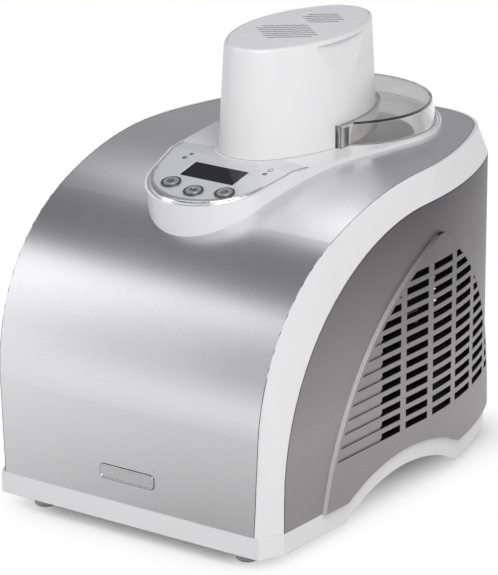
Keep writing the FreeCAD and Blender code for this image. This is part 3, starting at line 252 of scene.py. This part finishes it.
brightChrome = surface("brightChrome", {
    "effect": satin, "light": (0.88, 0.88, 0.89), "dark": (0.84, 0.84, 0.85),
    "rough": (0.05, 0.08), "bump": 0.0,
    "edge": 0.0024, "edgeLightAmount": 0.0, "shader": {"Metallic": 1.0}})
displayGlass = surface("displayGlass", {
    "light": (0.007, 0.007, 0.008), "dark": (0.01, 0.01, 0.011),
    "rough": (0.03, 0.06), "bump": 0.0,
    "shader": {"Specular IOR Level": 0.15, "Coat Weight": 0.3, "Coat IOR": 1.6, "Coat Roughness": 0.02}})
buttonSilver = surface("buttonSilver", {
    "effect": satin, "light": (0.34, 0.345, 0.36), "dark": (0.30, 0.305, 0.32),
    "rough": (0.26, 0.32), "bump": 0.02,
    "edge": 0.0004, "edgeLightAmount": 0.5, "paintedEdgeLight": (0.7, 0.7, 0.71),
    "shader": {"Metallic": 0.3, "Specular IOR Level": 0.3}})
ringChrome = surface("ringChrome", {
    "effect": satin, "light": (0.2, 0.2, 0.21), "dark": (0.17, 0.17, 0.18),
    "rough": (0.1, 0.16), "bump": 0.0,
    "edge": 0.0005, "edgeLightAmount": 0.3, "paintedEdgeLight": (0.6, 0.6, 0.61), "shader": {"Metallic": 0.9}})
symbolInk = surface("symbolInk", {
    "light": (0.03, 0.03, 0.034), "dark": (0.045, 0.045, 0.05),
    "rough": (0.6, 0.75), "bump": 0.05, "shader": {"Specular IOR Level": 0.1}})
lensClear = surface("lensClear", {
    "light": (0.2, 0.205, 0.215), "dark": (0.15, 0.155, 0.165),
    "rough": (0.06, 0.14), "bump": 0.0,
    "shader": {"Coat Weight": 0.4}})
ventLilac = surface("ventLilac", {
    "light": (0.83, 0.825, 0.855), "dark": (0.81, 0.805, 0.835),
    "rough": (0.4, 0.5), "bump": 0.08,
    # a paler painted highlight on the edges, painted shade on the vent walls
    "edge": 0.0003, "edgeLightAmount": 0.3, "paintedEdgeLight": (0.87, 0.865, 0.885), "paintedWallLight": {"Side": (0.06, 0.058, 0.064)}})
bowlAluminium = surface("bowlAluminium", {
    "effect": satin, "light": (0.83, 0.835, 0.84), "dark": (0.77, 0.775, 0.78),
    "rough": (0.3, 0.42), "bump": 0.06,
    "shader": {"Metallic": 0.45}})
paddleNylon = surface("paddleNylon", {
    "light": (0.76, 0.76, 0.75), "dark": (0.71, 0.71, 0.70),
    "rough": (0.38, 0.5), "bump": 0.12,
    "edge": 0.0006, "edgeLightAmount": 0.3})
zincSteel = surface("zincSteel", {
    "effect": satin, "light": (0.56, 0.57, 0.58), "dark": (0.47, 0.48, 0.50),
    "rough": (0.3, 0.45), "bump": 0.08,
    "edge": 0.0004, "edgeLightAmount": 0.4, "paintedEdgeLight": (0.7, 0.71, 0.72), "shader": {"Metallic": 1.0}})
blackPaint = surface("blackPaint", {
    "light": (0.022, 0.022, 0.023), "dark": (0.016, 0.016, 0.017),
    "rough": (0.3, 0.45), "bump": 0.15,
    "edge": 0.0008, "edgeLightAmount": 0.4, "paintedEdgeLight": (0.06, 0.06, 0.062)})
blackFoam = surface("blackFoam", {
    "light": (0.055, 0.055, 0.058), "dark": (0.04, 0.04, 0.043),
    "rough": (0.8, 0.95), "bump": 0.6})
copperTube = surface("copperTube", {
    "effect": satin, "light": (0.72, 0.36, 0.22), "dark": (0.58, 0.26, 0.15),
    "rough": (0.25, 0.4), "bump": 0.05,
    "shader": {"Metallic": 1.0}})
boardGreen = surface("boardGreen", {
    "light": (0.03, 0.14, 0.07), "dark": (0.02, 0.1, 0.05),
    "rough": (0.35, 0.5), "bump": 0.1})
lidClear = surface("lidClear", {
    "light": (0.9, 0.895, 0.89), "dark": (0.88, 0.875, 0.87),
    "rough": (0.02, 0.04), "bump": 0.0,
    # painted shade: a dark tint along the clear lid's edges
    "edge": 0.0013, "edgeLightAmount": 1.0, "paintedEdgeLight": (0.09, 0.083, 0.082),
    "shader": {"Transmission Weight": 1.0, "IOR": 1.55, "Coat Weight": 0.7, "Coat IOR": 1.7}})

# light passes the clear lid, so the bowl under it isn't dark
tree = lidClear.node_tree
through = addNode(tree, "BsdfTransparent")
through.inputs["Color"].default_value = (0.9, 0.9, 0.895, 1)
letBy = addNode(tree, "MixShader")
tree.links.new(addNode(tree, "LightPath").outputs["Is Shadow Ray"], letBy.inputs[0])
tree.links.new(tree.nodes["Principled BSDF"].outputs[0], letBy.inputs[1])
tree.links.new(through.outputs[0], letBy.inputs[2])
tree.links.new(letBy.outputs[0], tree.nodes["Material Output"].inputs["Surface"])

dressing = {
    shellWhite: ["base_tray", "main_shell", "top_island", "tower_shell", "tower_plugs"],
    coverSteel: ["metal_cover"],
    badgeSteel: ["badge_plate"],
    panelGrey: ["side_panel_left", "side_panel_right", "rear_panel"],
    footRubber: ["rubber_feet", "compressor_mounts", "cord_gland"],
    silverFilm: ["control_fascia"],
    brightChrome: ["chrome_trim"],
    ringChrome: ["button_rings"],
    displayGlass: ["display_window"],
    buttonSilver: ["button_left", "button_middle", "button_right"],
    lensClear: ["indicator_lenses"],
    ventLilac: ["tower_top_plate"],
    lidClear: ["clear_lid"],
    bowlAluminium: ["mixing_bowl", "freezing_well", "evaporator_jacket"],
    paddleNylon: ["mixing_paddle", "tower_base_plate", "idler_gear", "motor_pinion"],
    zincSteel: ["well_stand", "gear_plate", "drive_motor", "output_gear", "housing_screws"],
    blackPaint: ["compressor", "fan_frame", "fan_rotor", "condenser"],
    blackFoam: ["insulation_jacket"],
    copperTube: ["pipes"],
    boardGreen: ["control_board", "display_module", "power_board"],
}
for mat, names in dressing.items():
    for name in names:
        mesh = nodes[name].data
        mesh.materials.clear()
        mesh.materials.append(mat)
print("finishes on", sum(len(names) for names in dressing.values()), "nodes")


# small pieces on the control slope, measured along it in millimetres from a seat point

slope = {"noseY": -83.0, "lowY": -140.0, "lowZ": 264.0, "rise": 19.0 / 84.0}


def slopePoint(x, run, along, lift):
    y = slope["noseY"] + run
    turn = math.atan(slope["rise"])
    z = slope["lowZ"] + (y - slope["lowY"]) * slope["rise"]
    return Vector((x, y + along * math.cos(turn) - lift * math.sin(turn),
                   z + along * math.sin(turn) + lift * math.cos(turn))) / 1000


def addPiece(name, bm, mat, body):
    mesh = bpy.data.meshes.new(name)
    bmesh.ops.recalc_face_normals(bm, faces=bm.faces)
    bm.to_mesh(mesh)
    bm.free()
    mesh.materials.append(mat)
    piece = bpy.data.objects.new(name, mesh)
    scene.collection.objects.link(piece)
    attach(piece, body)
    return piece


def skinRings(bm, rings):
    # side faces between each ring and the next
    for low, high in zip(rings, rings[1:]):
        for index in range(len(low)):
            after = (index + 1) % len(low)
            bm.faces.new((low[index], low[after], high[after], high[index]))


def capEnds(bm, rings):
    bm.faces.new(rings[0])
    bm.faces.new(rings[-1])


def ringBand(inner, outer, start, stop, steps):
    cells = []
    for index in range(steps):
        first = math.radians(start + (stop - start) * index / steps)
        last = math.radians(start + (stop - start) * (index + 1) / steps)
        cells.append([(radius * math.cos(angle), radius * math.sin(angle))
                      for radius, angle in ((inner, first), (outer, first), (outer, last), (inner, last))])
    return cells


def strip(x0, y0, x1, y1, width):
    # a straight stroke between two points
    way = Vector((x1 - x0, y1 - y0)).normalized() * width / 2
    return [[(x0 + way.y, y0 - way.x), (x1 + way.y, y1 - way.x),
             (x1 - way.y, y1 + way.x), (x0 - way.y, y0 + way.x)]]


def symbol(name, look):
    # flat cells become one closed raised print that follows the dish under it
    bm = bmesh.new()
    for cell in look["cells"]:
        bm.faces.new([bm.verts.new((x, y, 0)) for x, y in cell])
    bmesh.ops.remove_doubles(bm, verts=bm.verts, dist=0.002)
    top = bmesh.ops.extrude_face_region(bm, geom=list(bm.faces))
    for vert in [item for item in top["geom"] if isinstance(item, bmesh.types.BMVert)]:
        vert.co.z = look["thick"]
    for vert in bm.verts:
        lift = look["seat"] + look["dish"] * math.hypot(vert.co.x, vert.co.y) + vert.co.z
        vert.co = slopePoint(look["x"] + vert.co.x, look["run"], vert.co.y, lift)
    return addPiece(name, bm, symbolInk, look["body"])


buttonDish = {"seat": 1.72, "dish": 0.5 / 4.8, "thick": 0.12}
turnMark = ringBand(2.2, 3.1, 60, 390, 22) + ringBand(0.6, 1.3, 0, 360, 12)
runMark = [[(-2.7, -1.7), (-0.1, 0), (-2.7, 1.7)]]
for barX in (0.9, 2.5):
    runMark += strip(barX, -1.8, barX, 1.8, 1.0)
powerMark = ringBand(1.7, 2.6, 120, 420, 20) + strip(0, 0.4, 0, 3.1, 0.9)
symbol("leftSymbol", {**buttonDish, "cells": turnMark, "x": -24.3, "run": -23, "body": "left_button"})
symbol("middleSymbol", {**buttonDish, "cells": runMark, "x": 2.2, "run": -29, "body": "middle_button"})
symbol("rightSymbol", {**buttonDish, "cells": powerMark, "x": 28.7, "run": -23, "body": "right_button"})

# beside the two lenses: a cold mark on the left and a turning mark on the right
coldMark = []
for angle in (0, 60, 120):
    dx, dy = 2.4 * math.cos(math.radians(angle)), 2.4 * math.sin(math.radians(angle))
    coldMark += strip(-dx, -dy, dx, dy, 0.6)
fasciaSeat = {"seat": 0.01, "dish": 0, "thick": 0.07, "body": "housing"}
symbol("coldSymbol", {**fasciaSeat, "cells": coldMark, "x": -38, "run": 23})
symbol("turnSymbol", {**fasciaSeat, "cells": ringBand(1.9, 2.6, 40, 360, 20), "x": 41, "run": 23})
print("control symbols made")


# loops of a rounded rectangle, one per step of an edge profile

def roundedLoop(halfX, halfY, corner, steps=8):
    points = []
    for quarter, (sx, sy) in enumerate(((1, 1), (-1, 1), (-1, -1), (1, -1))):
        for index in range(steps + 1):
            angle = math.radians(90 * quarter + 90 * index / steps)
            points.append((sx * (halfX - corner) + corner * math.cos(angle),
                           sy * (halfY - corner) + corner * math.sin(angle)))
    return points


def loopSolid(look, place, openMiddle=False):
    bm = bmesh.new()
    rings = []
    for inset, lift in look["profile"]:
        loop = roundedLoop(look["halfX"] - inset, look["halfY"] - inset, max(look["corner"] - inset, 0.05))
        rings.append([bm.verts.new(place(x, y, lift)) for x, y in loop])
    if openMiddle:
        skinRings(bm, rings + rings[:1])
    else:
        skinRings(bm, rings)
        capEnds(bm, rings)
    return bm


# bare plate on the lower front, with a raised rim round a sunk field
badge = {"halfX": 27, "halfY": 6, "corner": 4, "z": 54, "y": -200,
         "profile": [(0, 0), (0, 0.55), (0.25, 0.8), (1.1, 0.8), (1.5, 0.35)]}


def frontPoint(x, y, lift):
    return Vector((x, badge["y"] - lift, badge["z"] + y)) / 1000


bm = loopSolid(badge, frontPoint)
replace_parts(addPiece("badgePlate", bm, badgeSteel, "housing"), "badge_plate")

seat = {"halfX": 27.5, "halfY": 6.5, "corner": 4.4,
        "profile": [(0, 0.01), (0, 0.09), (0.8, 0.09), (0.8, 0.01)]}
bm = loopSolid(seat, frontPoint, openMiddle=True)
addPiece("badgeSeat", bm, symbolInk, "housing")

# bevelled rim round the display
rim = {"halfX": 27.7, "halfY": 13.2, "corner": 1.4, "run": 2,
       "profile": [(0, 0.02), (0.2, 0.3), (0.8, 0.34), (1.5, 0.12), (1.5, 0.02)]}
bm = loopSolid(rim, lambda x, y, lift: slopePoint(x, rim["run"], y, lift), openMiddle=True)
addPiece("displayRim", bm, silverFilm, "housing")
print("plate and display rim made")


# dark joints: one round the metal cover, one along the top of the grey panels, from the right foot
# round the back to the left foot

flank = {"axisX": -221, "cornerReach": 299, "bow": math.radians(25.5), "bowSteps": 10, "cornerSteps": 8,
         "foot": 30, "clear": 0.5}


def archPath(look, steps=12):
    turn = math.radians(look["turn"])
    first = (look["start"] + look["radius"], look["foot"] + look["rise"])
    more = look["crown"] - look["radius"]
    second = (first[0] + more * math.cos(turn), first[1] - more * math.sin(turn))
    path = [(look["start"], look["foot"] + look["clear"], 0.0)]
    arcs = ((first, look["radius"], 0, turn), (second, look["crown"], turn, math.pi / 2))
    for centre, radius, low, high in arcs:
        for index in range(steps + 1):
            angle = low + (high - low) * index / steps
            path.append((centre[0] - radius * math.cos(angle), centre[1] + radius * math.sin(angle), angle))
    return path


def sidePoint(look, y, z):
    # bowed flank behind flankY, straight or flared side before it
    if y < look["flankY"]:
        return look["side"] + look["flare"] * (z - look["foot"]), y, 0.0
    turn = math.asin((y - look["flankY"]) / look["reach"])
    return look["axisX"] + look["reach"] * math.cos(turn), y, turn


def evenSteps(low, high, count):
    return [low + (high - low) * index / count for index in range(1, count + 1)]


def jointLine(name, look):
    stations = []
    for y, z, angle in archPath(look):
        x, y, turn = sidePoint(look, y, z)
        rise = Vector((0, -math.cos(angle), math.sin(angle)))
        stations.append((Vector((x, y, z)), rise, Vector((math.cos(turn), math.sin(turn), 0))))
    crest = stations[-1][0].z
    start = math.asin((stations[-1][0].y - look["flankY"]) / look["reach"])
    bow = look["bow"]
    axis = Vector((look["axisX"], look["flankY"], 0))
    corner = look["reach"] - look["cornerReach"]
    middle = axis + Vector((math.cos(bow), math.sin(bow), 0)) * look["cornerReach"]
    level = evenSteps(start, bow, look["bowSteps"]) + evenSteps(bow, math.pi / 2, look["cornerSteps"])
    for turn in level:
        out = Vector((math.cos(turn), math.sin(turn), 0))
        spot = axis + out * look["reach"] if turn <= bow else middle + out * corner
        stations.append((Vector((spot.x, spot.y, crest)), Vector((0, 0, 1)), out))
    flip = Vector((-1, 1, 1))
    stations += [tuple(item * flip for item in station) for station in reversed(stations)]
    bm = bmesh.new()
    rings = []
    for spot, rise, out in stations:
        rings.append([bm.verts.new((spot + rise * up + out * side) / 1000) for up, side in look["section"]])
    skinRings(bm, rings)
    capEnds(bm, rings)
    addPiece(name, bm, symbolInk, "housing")


jointLine("coverJoint", {**flank, "start": -200, "rise": 81, "radius": 155, "turn": 65, "crown": 300,
                         "side": 124.5, "flare": 0.046, "flankY": -6.7, "reach": 357,
                         "section": [(-0.2, 0.0), (-0.2, 0.45), (0.06, 0.45), (0.06, 0.0)]})
jointLine("panelJoint", {**flank, "start": -179, "rise": 28, "radius": 190, "turn": 55, "crown": 210,
                         "side": 139, "flare": 0, "flankY": 10.3, "reach": 360,
                         "section": [(-0.75, -2.0), (-0.75, 0.06), (0.1, 0.06), (0.1, -2.0)]})
print("joint lines made")

# crowned bright cap on the crescent below the buttons
cap = {"radius": 54.1, "lean": 0.15, "topZ": 283, "width": 8, "swing": 78, "steps": 36,
       "sole": 0.74, "settle": 4,
       "crown": [(0, 0), (0, 0.1), (0.25, 0.5), (0.5, 0.82), (0.75, 1.06), (1, 1.18), (1, 0)]}
bm = bmesh.new()
rings = []
for index in range(cap["steps"] + 1):
    turn = math.radians(cap["swing"] * (2 * index / cap["steps"] - 1))
    reach = cap["radius"]
    for step in range(cap["settle"]):  # the wall leans, so reach and height settle in a few passes
        z = slope["lowZ"] + (slope["noseY"] - reach * math.cos(turn) - slope["lowY"]) * slope["rise"]
        reach = cap["radius"] - cap["lean"] * (cap["topZ"] - z)
    thin = math.cos(turn)
    ring = []
    for share, rise in cap["crown"]:
        run = share * cap["width"] - reach * math.cos(turn)
        ring.append(bm.verts.new(slopePoint(reach * math.sin(turn), run, 0, cap["sole"] + rise * thin)))
    rings.append(ring)
skinRings(bm, rings)
capEnds(bm, rings)
trimCap = addPiece("trimCap", bm, brightChrome, "housing")
for face in trimCap.data.polygons:
    face.use_smooth = True
print("crescent cap made")


# floor, light and camera

def areaLight(name, look):
    data = bpy.data.lights.new(name, "AREA")
    data.shape = "RECTANGLE"
    data.size, data.size_y = look["size"]
    data.energy = look["power"]
    lamp = bpy.data.objects.new(name, data)
    scene.collection.objects.link(lamp)
    lamp.location = look["spot"]
    lamp.rotation_euler = (Vector(look["target"]) - Vector(look["spot"])).to_track_quat("-Z", "Y").to_euler()


floorLook = {"half": 6, "colour": (0.93, 0.93, 0.935, 1), "foot": (0.075, 0.158, 0), "far": 0.08,
             "corner": (0.05, -0.22, 0), "mirrorFar": 0.5, "mirrorNear": 0.42}
floorMesh = bpy.data.meshes.new("floor")
half = floorLook["half"]
corners = [(-half, -half, 0), (half, -half, 0), (half, half, 0), (-half, half, 0)]
floorMesh.from_pydata(corners, [], [(0, 1, 2, 3)])
floor = bpy.data.objects.new("floor", floorMesh)
scene.collection.objects.link(floor)
floorMat = bpy.data.materials.new("floorWhite")
floorMat.use_nodes = True
tree = floorMat.node_tree
bsdf = tree.nodes["Principled BSDF"]
bsdf.inputs["Base Color"].default_value = floorLook["colour"]
bsdf.inputs["Roughness"].default_value = 0.9
bsdf.inputs["Specular IOR Level"].default_value = 0.1
coord = addNode(tree, "TexCoord")
side = addNode(tree, "VectorMath", operation="ABSOLUTE")
beyond = addNode(tree, "VectorMath", operation="SUBTRACT")
beyond.inputs[1].default_value = floorLook["foot"]
outside = addNode(tree, "VectorMath", operation="MAXIMUM")
outside.inputs[1].default_value = (0, 0, 0)
away = addNode(tree, "VectorMath", operation="LENGTH")
tree.links.new(coord.outputs["Object"], side.inputs[0])
tree.links.new(side.outputs[0], beyond.inputs[0])
tree.links.new(beyond.outputs[0], outside.inputs[0])
tree.links.new(outside.outputs[0], away.inputs[0])
whiten = addNode(tree, "MapRange", interpolation_type="SMOOTHSTEP")
whiten.inputs["From Max"].default_value = floorLook["far"]
tree.links.new(away.outputs["Value"], whiten.inputs["Value"])
# straight rays see plain white a little beside the object; mirrored rays see a glowing floor with a painted
# shadow that dims it towards the base
apart = addNode(tree, "VectorMath", operation="DISTANCE")
apart.inputs[1].default_value = floorLook["corner"]
tree.links.new(coord.outputs["Object"], apart.inputs[0])
path = addNode(tree, "LightPath")
mirrored = path.outputs["Is Glossy Ray"]
direct = mathOf(tree, "MAXIMUM", path.outputs["Is Camera Ray"], path.outputs["Is Transmission Ray"])
seen = mathOf(tree, "MAXIMUM", mirrored, mathOf(tree, "MULTIPLY", direct, whiten.outputs["Result"]))
paintedMirrorShadow = spread(tree, apart.outputs["Value"], floorLook["mirrorNear"], 1.0, 0.0, floorLook["mirrorFar"])
glow = addNode(tree, "Emission")
tree.links.new(mathOf(tree, "MAXIMUM", direct, paintedMirrorShadow), glow.inputs["Strength"])
pick = addNode(tree, "MixShader")
tree.links.new(seen, pick.inputs[0])
tree.links.new(bsdf.outputs[0], pick.inputs[1])
tree.links.new(glow.outputs[0], pick.inputs[2])
tree.links.new(pick.outputs[0], tree.nodes["Material Output"].inputs["Surface"])
floorMesh.materials.append(floorMat)

# studio round the object: palest low down, then dimmer towards overhead
studio = [(0.0, (0.6, 0.6, 0.61, 1)), (0.16, (0.36, 0.36, 0.37, 1)),
          (0.3, (0.36, 0.36, 0.37, 1)), (0.8, (0.17, 0.17, 0.18, 1))]
world = bpy.data.worlds.new("studio")
scene.world = world
world.use_nodes = True
tree = world.node_tree
back = tree.nodes["Background"]
coord = addNode(tree, "TexCoord")
parts = addNode(tree, "SeparateXYZ")
tree.links.new(coord.outputs["Generated"], parts.inputs[0])
ramp = addNode(tree, "ValToRGB")
bands = ramp.color_ramp.elements
bands[1].position = studio[-1][0]
bands[1].color = studio[-1][1]
bands[0].color = studio[0][1]
for height, tone in studio[1:-1]:
    bands.new(height).color = tone
tree.links.new(parts.outputs["Z"], ramp.inputs[0])
tree.links.new(ramp.outputs["Color"], back.inputs["Color"])
white = addNode(tree, "Background")
white.inputs["Color"].default_value = (1, 1, 1, 1)
path = addNode(tree, "LightPath")
pick = addNode(tree, "MixShader")
tree.links.new(path.outputs["Is Camera Ray"], pick.inputs[0])
tree.links.new(back.outputs[0], pick.inputs[1])
tree.links.new(white.outputs[0], pick.inputs[2])
tree.links.new(pick.outputs[0], tree.nodes["World Output"].inputs["Surface"])

areaLight("frontLeftBox", {"spot": (-1.45, -1.26, 0.87), "target": (0, 0, 0.17),
                           "size": (0.85, 1.7), "power": 6.2})
areaLight("backLeftStrip", {"spot": (-0.60, 0.56, 1.56), "target": (0, 0, 0.2),
                            "size": (0.7, 0.62), "power": 1.8})
areaLight("rightKey", {"spot": (1.14, -0.9, 1.65), "target": (0, 0, 0.17),
                       "size": (1.6, 1.6), "power": 31})
print("studio lit")

view = {"spot": (1.8188, -2.565, 1.2073), "azimuth": 35.69, "elevation": 18.44, "lens": 250.4}
lens = bpy.data.cameras.new("viewCam")
lens.lens = view["lens"]
lens.sensor_width = 36
lens.clip_end = 50
cam = bpy.data.objects.new("viewCam", lens)
scene.collection.objects.link(cam)
cam.location = view["spot"]
cam.rotation_euler = (math.radians(90 - view["elevation"]), 0, math.radians(view["azimuth"]))
scene.camera = cam
scene.view_settings.view_transform = "Standard"
